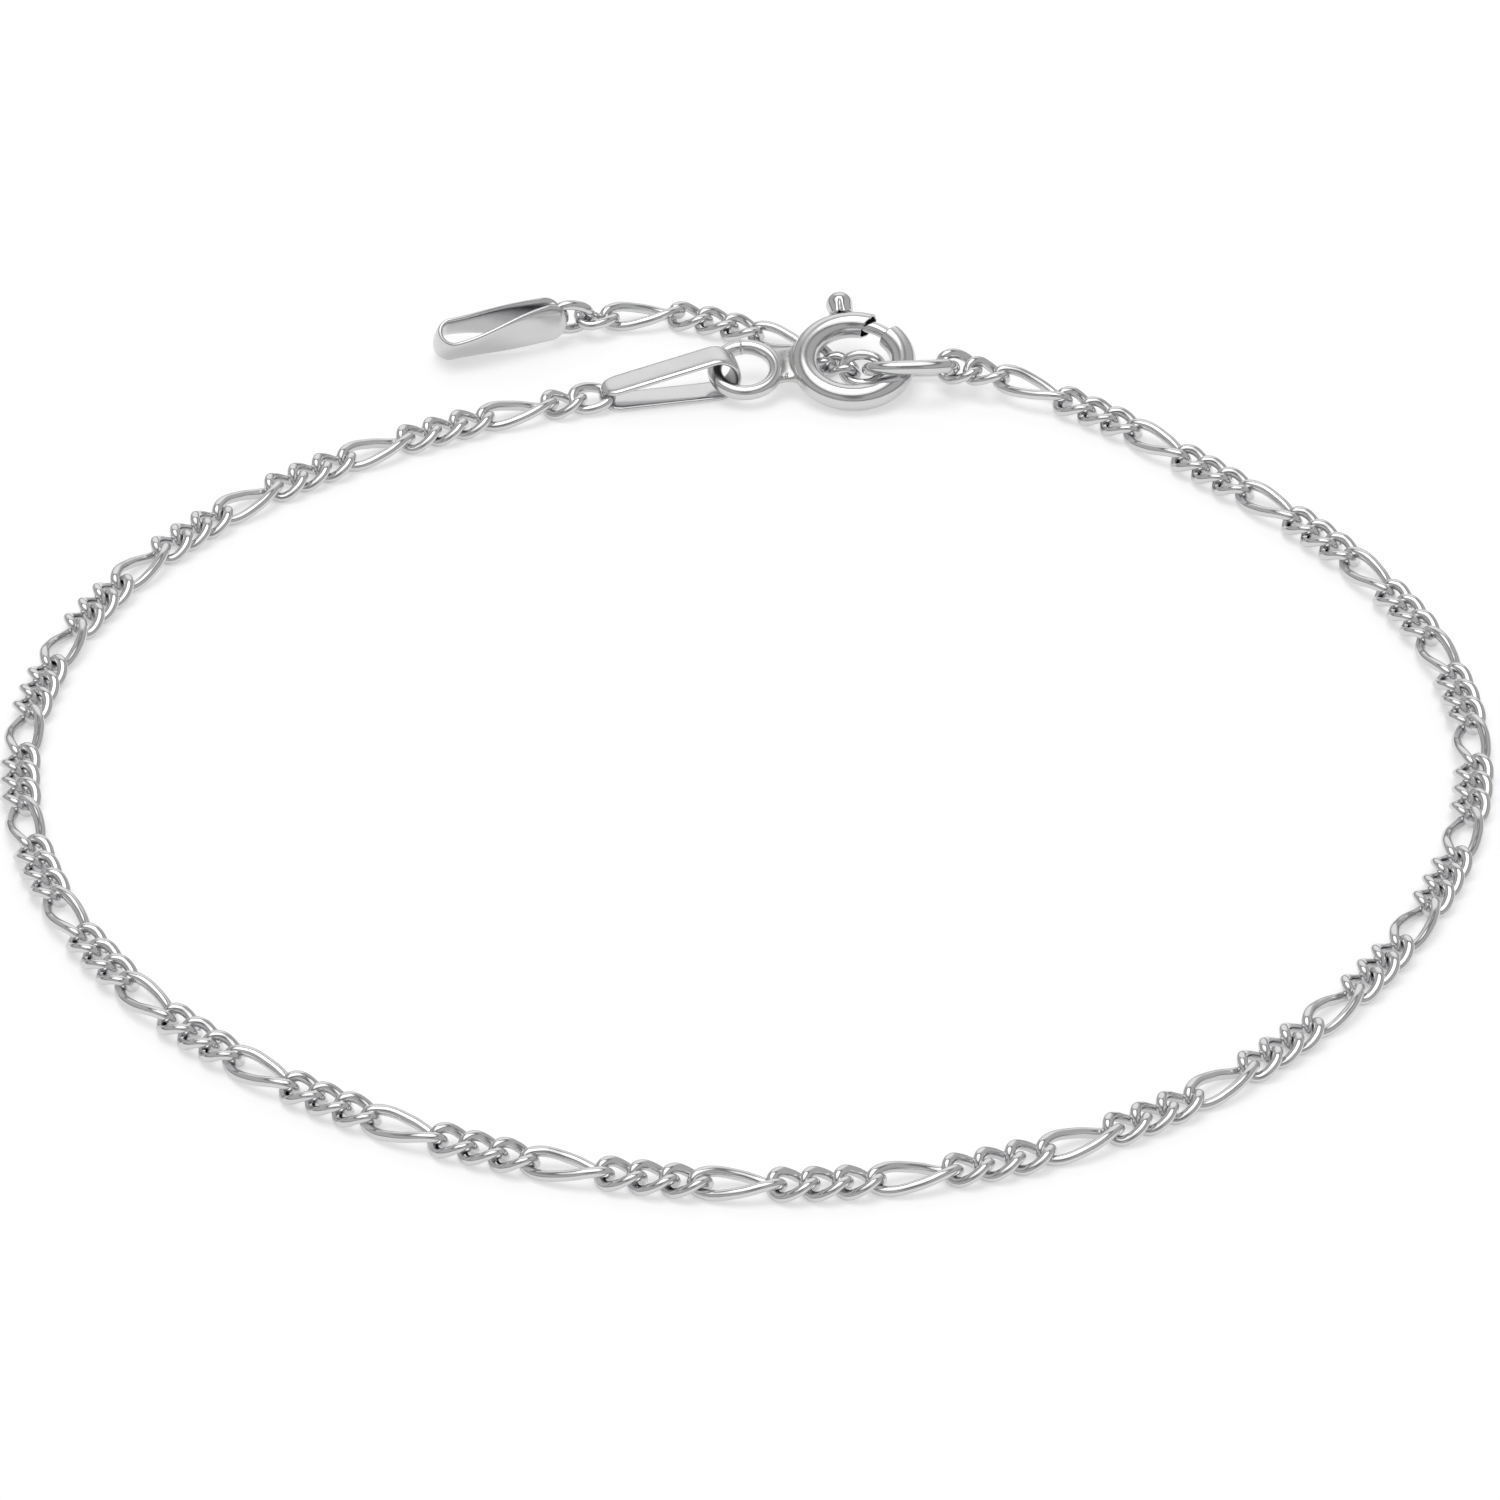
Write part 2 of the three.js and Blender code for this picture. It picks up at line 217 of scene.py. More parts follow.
def wire_ring(
    wire_sides: int, steps: int, sweep: float = TURN, capped: bool = True,
) -> bmesh.types.BMesh:
    """Makes a unit torus, whole or open, to be shaped into a ring.

    Args:
        wire_sides: sides of the wire.
        steps: segments round the ring.
        sweep: how far round it goes from angle 0, in radians.
        capped: whether the ends of an open ring are closed.

    Returns:
        The torus, of radius 1 with a wire of radius UNIT_WIRE.
    """
    bm = bmesh.new()
    whole = sweep > TURN - SLACK
    bmesh.ops.create_circle(bm, segments=wire_sides, radius=UNIT_WIRE, cap_ends=False)
    bmesh.ops.rotate(bm, verts=bm.verts, matrix=Matrix.Rotation(TURN / 4, 3, "X"))
    bmesh.ops.translate(bm, verts=bm.verts, vec=(1, 0, 0))
    bmesh.ops.spin(
        bm, geom=bm.verts[:] + bm.edges[:], cent=(0, 0, 0), axis=(0, 0, 1), angle=sweep, steps=steps,
        use_merge=whole,
    )
    if capped and not whole:
        bmesh.ops.holes_fill(bm, edges=[edge for edge in bm.edges if edge.is_boundary], sides=0)
    bmesh.ops.recalc_face_normals(bm, faces=bm.faces)
    if not capped and not whole:
        # an open tube has no inside to tell its normals from, so its lowest face has to look down
        lowest = min(bm.faces, key=lambda face: face.calc_center_median().z)
        if lowest.normal.z > 0:
            bmesh.ops.reverse_faces(bm, faces=bm.faces)
    return bm


def reshape(bm: bmesh.types.BMesh, point: Callable[[float, float, float], Vector]) -> None:
    """Moves each vertex of a unit torus to its place on a shaped ring.

    Args:
        bm: the torus.
        point: gives the place for an angle round the ring from 0 to a full turn, an angle round
            the wire that is 0 outwards, and a share of the wire's radius.
    """
    for vertex in bm.verts:
        x, y, z = vertex.co
        outward = math.hypot(x, y) - 1
        turn = math.atan2(y, x)
        if turn < -SLACK:
            turn += TURN
        vertex.co = point(max(turn, 0.0), math.atan2(z, outward), math.hypot(outward, z) / UNIT_WIRE)


def power_of(value: float, power: float) -> float:
    """Raises a value's size to a power and keeps its sign."""
    return math.copysign(abs(value) ** power, value)


def polar(reach: float, angle: float, height: float = 0.0) -> Vector:
    """Gives the point at a reach and an angle round the upright axis, at a height."""
    return Vector((reach * math.cos(angle), reach * math.sin(angle), height))


def soft_limit(value: float, start: float, limit: float) -> float:
    """Holds a value's size under a limit, easing in from where it starts to be held.

    Args:
        value: any number.
        start: size up to which it is left alone.
        limit: size that it never passes.

    Returns:
        The held value, with its sign.
    """
    over = abs(value) - start
    if over <= 0:
        return value
    room = limit - start
    return math.copysign(start + room * (1 - math.exp(-over / room)), value)


@dataclass(frozen=True)
class Oval:
    """A flat oval between an ellipse and a rectangle, which is squarer above a squareness of 2."""

    half_length: float
    half_width: float
    squareness: float

    def point(self, angle: float, reach: float) -> tuple[float, float]:
        """Finds a point beside the oval's line.

        Args:
            angle: angle round the oval, 0 at its far end.
            reach: how far outwards of the line.

        Returns:
            The place along the oval and across it.
        """
        power = 2 / self.squareness
        along = power_of(math.cos(angle), power)
        aside = power_of(math.sin(angle), power)
        outward = Vector((
            power_of(along, self.squareness - 1) / self.half_length,
            power_of(aside, self.squareness - 1) / self.half_width,
        )).normalized()
        return self.half_length * along + reach * outward.x, self.half_width * aside + reach * outward.y


def soften(bm: bmesh.types.BMesh, width: float) -> None:
    """Rounds the sharp edges of a shape.

    Args:
        bm: the shape.
        width: how far the rounding reaches from an edge.
    """
    sharp = [edge for edge in bm.edges if edge.calc_face_angle(0.0) > SHARP_EDGE]
    bmesh.ops.bevel(
        bm, geom=sharp, offset=width, affect="EDGES", segments=2, profile=0.5, material=-1,
        clamp_overlap=True,
    )


def join_into(bm: bmesh.types.BMesh, part: bmesh.types.BMesh) -> None:
    """Adds one shape to another.

    Args:
        bm: the shape that grows.
        part: the shape to add, which is freed.
    """
    mesh = bpy.data.meshes.new("part")
    part.to_mesh(mesh)
    part.free()
    bm.from_mesh(mesh)
    bpy.data.meshes.remove(mesh)


def melt(bm: bmesh.types.BMesh, voxel: float, rounds: int) -> bmesh.types.BMesh:
    """Fuses overlapping shapes into one skin and lets it flow smooth.

    Args:
        bm: closed shapes that overlap, which are freed.
        voxel: size of the new faces.
        rounds: how often the skin is smoothed.

    Returns:
        The skin.
    """
    mesh = bpy.data.meshes.new("melt")
    bm.to_mesh(mesh)
    bm.free()
    holder = bpy.data.objects.new("melt", mesh)
    bpy.context.scene.collection.objects.link(holder)
    remesh = holder.modifiers.new("skin", "REMESH")
    remesh.mode = "VOXEL"
    remesh.voxel_size = voxel
    bpy.context.view_layer.update()
    skin = bmesh.new()
    skin.from_object(holder, bpy.context.evaluated_depsgraph_get())
    bpy.data.objects.remove(holder)
    bpy.data.meshes.remove(mesh)
    for _ in range(rounds):
        bmesh.ops.smooth_vert(
            skin, verts=skin.verts, factor=0.5, use_axis_x=True, use_axis_y=True, use_axis_z=True,
        )
    return skin


def finish_piece(
    bm: bmesh.types.BMesh,
    name: str,
    finishes: Sequence[SilverFinish],
    nodes: Sequence[str] = (),
    body: Body = Body.BRACELET,
    slot: Slot = Slot.SILVER,
) -> None:
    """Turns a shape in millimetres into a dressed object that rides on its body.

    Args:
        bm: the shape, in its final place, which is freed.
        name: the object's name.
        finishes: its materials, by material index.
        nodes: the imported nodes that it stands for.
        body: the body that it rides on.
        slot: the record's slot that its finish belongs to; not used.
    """
    for face in bm.faces:
        face.smooth = True
    bmesh.ops.scale(bm, verts=bm.verts, vec=(MM,) * 3)
    mesh = bpy.data.meshes.new(name)
    bm.to_mesh(mesh)
    bm.free()
    piece = bpy.data.objects.new(name, mesh)
    bpy.context.scene.collection.objects.link(piece)
    for finish in finishes:
        mesh.materials.append(finish.material())
    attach(piece, body.value)
    if nodes:
        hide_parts(*nodes)
    LOG.info("%s: %d faces", name, len(mesh.polygons))


# ---- curves that the chain lies on -----------------------------------------------------------


@dataclass
class Route:
    """A line through space that can be walked by its length."""

    points: list[Vector]
    # the line's direction is taken between points this far before and after
    feel: float = 0.01
    lengths: list[float] = field(init=False)

    def __post_init__(self) -> None:
        """Measures the line."""
        self.lengths = [0.0]
        for before, after in zip(self.points, self.points[1:]):
            self.lengths.append(self.lengths[-1] + (after - before).length)

    @property
    def length(self) -> float:
        """The whole length."""
        return self.lengths[-1]

    def point(self, distance: float) -> Vector:
        """Finds a point of the line.

        Args:
            distance: how far along.

        Returns:
            The point, or an end of the line for a distance beyond it.
        """
        distance = min(max(distance, 0.0), self.length)
        low, high = 0, len(self.lengths) - 1
        while high - low > 1:
            middle = (low + high) // 2
            if self.lengths[middle] <= distance:
                low = middle
            else:
                high = middle
        share = (distance - self.lengths[low]) / (self.lengths[high] - self.lengths[low])
        return self.points[low].lerp(self.points[high], share)

    def frame(self, distance: float) -> Matrix:
        """Gives a frame on the line: x along it, y to its left, z up.

        Args:
            distance: how far along.

        Returns:
            The frame as a matrix.
        """
        along = (self.point(distance + self.feel) - self.point(distance - self.feel)).normalized()
        left = Vector((0, 0, 1)).cross(along).normalized()
        up = along.cross(left)
        turned = Matrix((along, left, up)).transposed().to_4x4()
        return Matrix.Translation(self.point(distance)) @ turned


def smoothstep(value: float, low: float, high: float) -> float:
    """Eases from 0 at low to 1 at high."""
    share = min(max((value - low) / (high - low), 0.0), 1.0)
    return share * share * (3 - 2 * share)


def catmull_rom(points: Sequence[Vector], steps: int) -> list[Vector]:
    """Runs a centripetal spline through points.

    Args:
        points: the points that it passes through.
        steps: pieces between two points.

    Returns:
        Points along the spline.
    """
    ends = [2 * points[0] - points[1], *points, 2 * points[-1] - points[-2]]
    line = []
    for p0, p1, p2, p3 in zip(ends, ends[1:], ends[2:], ends[3:]):
        t1 = (p1 - p0).length ** 0.5
        t2 = t1 + (p2 - p1).length ** 0.5
        t3 = t2 + (p3 - p2).length ** 0.5
        for step in range(steps):
            t = t1 + (t2 - t1) * step / steps
            a1 = p0.lerp(p1, t / t1)
            a2 = p1.lerp(p2, (t - t1) / (t2 - t1))
            a3 = p2.lerp(p3, (t - t2) / (t3 - t2))
            b1 = a1.lerp(a2, t / t2)
            b2 = a2.lerp(a3, (t - t1) / (t3 - t1))
            line.append(b1.lerp(b2, (t - t1) / (t2 - t1)))
    return [*line, points[-1]]


# ---- links ----------------------------------------------------------------------------------


class Kind(Enum):
    """The links of a figaro chain.

    Their pitch, half width to the middle of the wire, squareness, and segments round the link.
    """

    SHORT = (1.2225, 0.61, 2.25, 48)
    LONG = (2.8975, 0.575, 2.3, 68)

    @property
    def pitch(self) -> float:
        """Distance that the link adds to the chain."""
        return self.value[0]

    @property
    def steps(self) -> int:
        """Segments round the link."""
        return self.value[3]


@dataclass(frozen=True)
class Link:
    """One curb link of round wire, its ends turned opposite ways, pressed level above and below."""

    kind: Kind
    # how far each end is turned about the chain's direction, in degrees
    start_turn: float = 52.0
    end_turn: float = -52.0
    # how far it is pushed back into the link before it
    play: float = 0.0
    wire: float = 0.43
    # how much longer than its pitch the middle line of its wire is, to reach into its neighbours
    bearing: float = 0.415
    # the press holds the wire from the first of these heights off the chain's middle, within the second
    pressed: bool = True
    level_from: float = 0.41
    level: float = 0.445
    wire_sides: int = 16

    def point(self, round_angle: float, wire_angle: float, share: float) -> Vector:
        """Places a point of the wire's surface.

        Args:
            round_angle: angle round the link, 0 at its far end.
            wire_angle: angle round the wire, 0 outwards.
            share: share of the wire's radius.

        Returns:
            The point in the link's own frame, x along the chain.
        """
        pitch, half_width, squareness, _ = self.kind.value
        oval = Oval((pitch + self.bearing) / 2, half_width, squareness)
        x, y = oval.point(round_angle, share * self.wire / 2 * math.cos(wire_angle))
        z = share * self.wire / 2 * math.sin(wire_angle)
        progress = (math.cos(round_angle) + 1) / 2
        turn = math.radians(self.start_turn + (self.end_turn - self.start_turn) * progress)
        up = y * math.sin(turn) + z * math.cos(turn)
        if self.pressed:
            up = soft_limit(up, self.level_from, self.level)
        return Vector((x, y * math.cos(turn) - z * math.sin(turn), up))

    def build(self) -> bpy.types.Mesh:
        """Builds the link once, to be placed along a chain.

        Returns:
            The mesh, in the link's own frame.
        """
        bm = wire_ring(self.wire_sides, self.kind.steps)
        reshape(bm, self.point)
        mesh = bpy.data.meshes.new("link")
        bm.to_mesh(mesh)
        bm.free()
        return mesh


@dataclass
class ChainRun:
    """Links laid along a route, each passed through the one before."""

    route: Route
    links: list[Link]
    first_distance: float
    # how much the links roll by chance, in degrees
    looseness: float = 1.2

    def frames(self) -> list[Matrix]:
        """Works out where the links lie.

        Returns:
            The frame of every link.
        """
        distance = self.first_distance
        found = []
        for before, link in zip([None, *self.links], self.links):
            if before:
                distance += (before.kind.pitch + link.kind.pitch) / 2 - link.play
            found.append(self.route.frame(distance))
        return found

    def build(self, first: int, last: int, shift: Vector, chance: random.Random) -> bmesh.types.BMesh:
        """Joins some of the links into one mesh.

        Args:
            first: index of the first link.
            last: index after the last link.
            shift: from the route's frame to the bracelet's.
            chance: seeded source of the links' small differences.

        Returns:
            The joined links.
        """
        templates: dict[Link, bpy.types.Mesh] = {}
        bm = bmesh.new()
        for link, frame in list(zip(self.links, self.frames()))[first:last]:
            if link not in templates:
                templates[link] = link.build()
            before = len(bm.verts)
            bm.from_mesh(templates[link])
            bm.verts.ensure_lookup_table()
            roll = Matrix.Rotation(math.radians(chance.gauss(0, self.looseness)), 4, "X")
            bmesh.ops.transform(
                bm, matrix=Matrix.Translation(shift) @ frame @ roll, verts=bm.verts[before:],
            )
        for mesh in templates.values():
            bpy.data.meshes.remove(mesh)
        return bm


@dataclass
class WristChain:
    """The closed figaro loop: one long link to three short ones."""

    radius: float = 28.41
    # how the loop departs from a circle: waves round it, and the cosine and sine share of each
    waves: tuple[tuple[int, float, float], ...] = (
        (2, 0.07, 0.11), (3, -0.22, 0.11), (4, 0.16, 0.01), (5, 0.10, 0.05),
    )
    first_angle: float = math.radians(110.2)
    lead_in: float = 0.1
    # near the end the chain leaves the round and climbs: from, to (in degrees), outwards, up
    departures: tuple[tuple[float, float, float, float], ...] = (
        (404.0, 431.0, 1.75, 0.0), (421.0, 434.0, -0.35, 0.64),
    )
    middle: float = 0.48
    first_lift: float = 0.04
    first_lift_fades: tuple[float, float] = (4.0, 8.0)
    long_links: int = 25
    shorts_between: int = 3
    links_in_first_run: int = 50
    meeting_play: float = 0.17
    samples: int = 4000

    def point(self, share: float) -> Vector:
        """Finds a point of the loop.

        Args:
            share: share of the way round from where the line is begun.

        Returns:
            The point in the loop's own frame.
        """
        angle = (share - self.lead_in) * TURN + self.first_angle
        eased = [
            smoothstep(angle, math.radians(low), math.radians(high)) for low, high, _, _ in self.departures
        ]
        outwards = sum(part * step[2] for part, step in zip(eased, self.departures))
        up = sum(part * step[3] for part, step in zip(eased, self.departures))
        arriving = smoothstep(self.first_angle - angle, *map(math.radians, self.first_lift_fades))
        radius = self.radius + outwards + sum(
            cosine * math.cos(order * angle) + sine * math.sin(order * angle)
            for order, cosine, sine in self.waves
        )
        return polar(radius, angle, self.middle + up + self.first_lift * arriving)

    def run(self) -> ChainRun:
        """Lays the links round the loop, the last of them rolled to pass through the oval ring.

        Returns:
            The laid links.
        """
        route = Route([self.point(i / self.samples) for i in range(self.samples + 1)])
        links = [Link(Kind.SHORT, 0.0, -35.0), Link(Kind.SHORT), Link(Kind.LONG)]
        for _ in range(self.long_links - 1):
            links += [Link(Kind.SHORT)] * self.shorts_between + [Link(Kind.LONG)]
        links += [Link(Kind.SHORT, end_turn=-45.0), Link(Kind.SHORT, 20.0, -76.0, pressed=False)]
        links[self.links_in_first_run] = Link(links[self.links_in_first_run].kind, play=self.meeting_play)
        start = self.lead_in * route.length - Kind.SHORT.pitch - (Kind.SHORT.pitch + Kind.LONG.pitch) / 2
        return ChainRun(route, links, start)

    def build(self, shift: Vector, chance: random.Random) -> None:
        """Builds both runs of the loop.

        Args:
            shift: from the loop's own frame to the bracelet's.
            chance: seeded source of the links' small differences.
        """
        run = self.run()
        for node, first, last in (
            ("chain_left", 0, self.links_in_first_run),
            ("chain_right", self.links_in_first_run, len(run.links)),
        ):
            bm = run.build(first, last, shift, chance)
            finish_piece(bm, f"{node}_links", (WIRE_FINISH,), (node,))


@dataclass
class Extender:
    """The short free chain behind the clasp."""

    # where it passes, from inside the oval ring to inside the end tag
    passes: tuple[tuple[float, float, float], ...] = (
        (5.7, 29.27, 0.68), (4.755, 28.9, 0.947), (3.92, 29.45, 0.65), (3.0, 30.35, 0.52),
        (1.5, 31.8, 0.48), (-0.3, 32.9, 0.48), (-2.3, 33.85, 0.48), (-4.2, 34.15, 0.5),
        (-6.27, 33.59, 0.63), (-7.98, 32.87, 1.16), (-9.45, 32.93, 1.08),
    )
    steps_between: int = 40
    first_distance: float = 1.08

    def run(self) -> ChainRun:
        """Lays the links, with those at both ends rolled to pass through what they hold.

        Returns:
            The laid links.
        """
        line = catmull_rom([Vector(place) for place in self.passes], self.steps_between)
        short, long = Link(Kind.SHORT), Link(Kind.LONG)
        links = [
            Link(Kind.SHORT, -61.0, -61.0, pressed=False), short, short, long, short, short, short, long,
            Link(Kind.SHORT, 45.0, -20.0), Link(Kind.SHORT, 75.0, 97.0, pressed=False),
        ]
        return ChainRun(Route(line), links, self.first_distance)

    def build(self, shift: Vector, chance: random.Random) -> None:
        """Builds the extender.

        Args:
            shift: from the loop's own frame to the bracelet's.
            chance: seeded source of the links' small differences.
        """
        run = self.run()
        bm = run.build(0, len(run.links), shift, chance)
        finish_piece(bm, "extender_links", (WIRE_FINISH,), ("extender_chain",))


# ---- clasp ----------------------------------------------------------------------------------


@dataclass(frozen=True)
class ClaspPlane:
    """The tilted plane that the clasp's parts share: origin in the ring's middle, x to the right."""

    centre: Vector
    axis: Vector

    def place(self, bm: bmesh.types.BMesh) -> None:
        """Moves a shape from the plane's own frame to the bracelet's.

        Args:
            bm: the shape.
        """
        tilt = math.atan2(-self.axis.y, self.axis.z)
        bmesh.ops.transform(
            bm, matrix=Matrix.Translation(self.centre) @ Matrix.Rotation(tilt, 4, "X"), verts=bm.verts,
        )


@dataclass
class SpringRing:
    """The hollow ring of the clasp: bent tube, open at its mouth, with a slot for the knob."""

    plane: ClaspPlane
    ring_radius: float = 2.085
    tube_radius: float = 0.555
    wall: float = 0.09
    rim: float = 0.022
    # share of the wall's depth below which a face belongs to the bore
    bore_below: float = 0.6
    # the mouth lies between these angles, in degrees
    mouth_to: float = 73.0
    mouth_from: float = 43.0
    # how far the cut before the mouth slants and how far its upper side reaches on, in degrees
    slant: float = 5.5
    reach_above: float = 2.0
    # how far the cut beyond the mouth slants, in degrees, and which way it faces, in radians
    far_slant: float = 1.2
    far_slant_turn: float = 0.6
    # the burrs, in degrees: two waves round the cut, the second turned by an angle in radians
    ragged: float = 1.2
    burr_waves: tuple[int, int] = (5, 3)
    burr_turn: float = 0.7
    slot_from: float = 92.3
    slot_to: float = 145.7
    slot_half_width: float = 0.29
    tube_sides: int = 40
    steps: int = 132

    @property
    def sweep(self) -> float:
        """How far round the tube goes, in radians."""
        return math.radians(360.0 - self.mouth_to + self.mouth_from)

    def ends(self, wire_angle: float) -> tuple[float, float]:
        """Gives where the tube begins and ends at an angle round the tube.

        The first end was cut by hand: it slants, reaches on above, and has a burr or two.

        Args:
            wire_angle: angle round the tube, 0 outwards.

        Returns:
            The angles of both ends, in degrees.
        """
        above = self.reach_above * max(0.0, math.sin(wire_angle)) ** 2
        first_wave, second_wave = self.burr_waves
        burr = math.sin(first_wave * wire_angle) * math.sin(second_wave * wire_angle + self.burr_turn)
        start = self.mouth_to - self.slant * math.cos(wire_angle) - above + self.ragged * burr
        end = 360.0 + self.mouth_from - self.far_slant * math.cos(wire_angle - self.far_slant_turn)
        return start, end

    def point(self, round_angle: float, wire_angle: float, share: float) -> Vector:
        """Places a point of the tube's outer face.

        Args:
            round_angle: angle round the ring from where the tube begins.
            wire_angle: angle round the tube, 0 outwards.
            share: share of the tube's radius.

        Returns:
            The point in the clasp's plane.
        """
        start, end = self.ends(wire_angle)
        angle = math.radians(start + (end - start) * (round_angle / self.sweep))
        reach = self.ring_radius + share * self.tube_radius * math.cos(wire_angle)
        return polar(reach, angle, share * self.tube_radius * math.sin(wire_angle))

    def in_slot(self, face: bmesh.types.BMFace) -> bool:
        """Tells whether the knob's slot is cut through a place of the tube.

        Args:
            face: a face of the tube.

        Returns:
            Whether its middle lies in the slot.
        """
        middle = face.calc_center_median()
        angle = math.degrees(math.atan2(middle.y, middle.x))
        outer = math.hypot(middle.x, middle.y) > self.ring_radius
        return outer and self.slot_from < angle < self.slot_to and abs(middle.z) < self.slot_half_width

    def build(self) -> None:
        """Builds the tube, with painted shade in its bore, its slot cut and its rims softened."""
        bm = wire_ring(self.tube_sides, self.steps, self.sweep, capped=False)
        reshape(bm, self.point)
        cut = [face for face in bm.faces if self.in_slot(face)]
        bmesh.ops.delete(bm, geom=cut, context="FACES")
        bmesh.ops.solidify(bm, geom=bm.faces[:], thickness=self.wall)
        for face in bm.faces:
            middle = face.calc_center_median()
            reach = math.hypot(math.hypot(middle.x, middle.y) - self.ring_radius, middle.z)
            # faces of the bore take the near-black material: painted shade
            face.material_index = int(reach < self.tube_radius - self.bore_below * self.wall)
        soften(bm, self.rim)
        self.plane.place(bm)
        finish_piece(bm, "clasp_tube", (TUBE_FINISH, BORE_PAINTED_SHADE), ("clasp_ring",))


@dataclass(frozen=True)
class WireArc:
    """A stretch of round wire or tube in the clasp's plane, which solder flows round."""

    centre: Vector
    heading: float
    radius: float
    wire_radius: float
    sweep: float
    sides: int = 24

    def point(self, round_angle: float, wire_angle: float, share: float) -> Vector:
        """Places a point of the stretch's surface.

        Args:
            round_angle: angle along the stretch, whose middle lies at its heading.
            wire_angle: angle round the wire, 0 outwards.
            share: share of the wire's radius.

        Returns:
            The point in the clasp's plane.
        """
        angle = self.heading - self.sweep / 2 + round_angle
        reach = self.radius + share * self.wire_radius * math.cos(wire_angle)
        return self.centre + polar(reach, angle, share * self.wire_radius * math.sin(wire_angle))

    def build(self) -> bmesh.types.BMesh:
        """Builds the stretch.

        Returns:
            The closed shape.
        """
        bm = wire_ring(self.sides, self.sides, self.sweep)
        reshape(bm, self.point)
        return bm


@dataclass
class EndLoop:
    """The loop of wire beside the clasp, with its open seam, and the solder that holds it."""

    plane: ClaspPlane
    ring: SpringRing
    x: float = -4.55
    y: float = -0.49
    radius: float = 1.3
    wire: float = 0.63
    wire_sides: int = 28
    steps: int = 96
    rounding: float = 0.03
    seam_angle: float = 99.0
    seam: float = 0.06
    # how far each end is bent aside at the seam, and how late the bend sets in: more is later
    offset: float = 0.085
    offset_power: int = 5
    # the solder starts as a box between the loop and the tube, and flows over a stretch of each
    solder_size: tuple[float, float, float] = (1.1, 1.95, 0.36)
    solder_reach: float = 0.33
    solder_aside: float = -0.10
    solder_sweep: float = 2.6
    solder_sink: float = 0.012
    voxel: float = 0.04
    flow_rounds: int = 100
    # grains that set beside it, about one spot
    grains: int = 9
    grain_radius: tuple[float, float] = (0.06, 0.09)
    grain_spot: tuple[float, float, float] = (-2.84, -0.96, 0.16)
    grain_spread: tuple[float, float] = (0.18, 0.1)

    @property
    def sweep(self) -> float:
        """How far round the wire goes, in radians."""
        return TURN - self.seam / self.radius

    def point(self, round_angle: float, wire_angle: float, share: float) -> Vector:
        """Places a point of the loop's wire, whose two ends pass each other slightly.

        Args:
            round_angle: angle round the loop from its seam.
            wire_angle: angle round the wire, 0 outwards.
            share: share of the wire's radius.

        Returns:
            The point in the clasp's plane.
        """
        angle = math.radians(self.seam_angle) + self.seam / self.radius / 2 + round_angle
        lean = self.offset * power_of(2 * round_angle / self.sweep - 1, self.offset_power)
        reach = self.radius + lean + share * self.wire / 2 * math.cos(wire_angle)
        return Vector((
            self.x + reach * math.cos(angle), self.y + reach * math.sin(angle),
            share * self.wire / 2 * math.sin(wire_angle) - lean,
        ))

    def build(self, chance: random.Random) -> None:
        """Builds the loop and its solder.

        Args:
            chance: seeded source of the solder's grains.
        """
        bm = wire_ring(self.wire_sides, self.steps, self.sweep)
        reshape(bm, self.point)
        soften(bm, self.rounding)
        self.plane.place(bm)
        finish_piece(bm, "clasp_end_loop", (TUBE_FINISH,))
        self.build_solder(chance)

    def build_solder(self, chance: random.Random) -> None:
        """Builds the solder that flowed between the loop and the tube, with a few set grains.

        Args:
            chance: seeded source of the grains.
        """
        toward = math.atan2(self.y, self.x)
        bm = bmesh.new()
        bmesh.ops.create_cube(bm, size=1.0)
        bmesh.ops.scale(bm, verts=bm.verts, vec=self.solder_size)
        reach = self.ring.ring_radius + self.ring.tube_radius + self.solder_reach
        bmesh.ops.translate(bm, verts=bm.verts, vec=(reach, self.solder_aside, 0))
        bmesh.ops.rotate(bm, verts=bm.verts, matrix=Matrix.Rotation(toward, 3, "Z"))
        for centre, heading, radius, wire_radius in (
            (Vector(), toward, self.ring.ring_radius, self.ring.tube_radius),
            (Vector((self.x, self.y, 0)), toward + math.pi, self.radius, self.wire / 2),
        ):
            sunk = wire_radius - self.solder_sink
            join_into(bm, WireArc(centre, heading, radius, sunk, self.solder_sweep / radius).build())
        bm = melt(bm, self.voxel, self.flow_rounds)
        for _ in range(self.grains):
            radius = chance.uniform(*self.grain_radius)
            grain = bmesh.ops.create_icosphere(bm, subdivisions=2, radius=radius)
            x, y, z = self.grain_spot
            x += chance.uniform(-self.grain_spread[0], self.grain_spread[0])
            y += chance.uniform(-self.grain_spread[1], self.grain_spread[1])
            bmesh.ops.translate(bm, verts=grain["verts"], vec=(x, y, z))
        self.plane.place(bm)
        finish_piece(bm, "clasp_solder", (SOLDER_FINISH,))


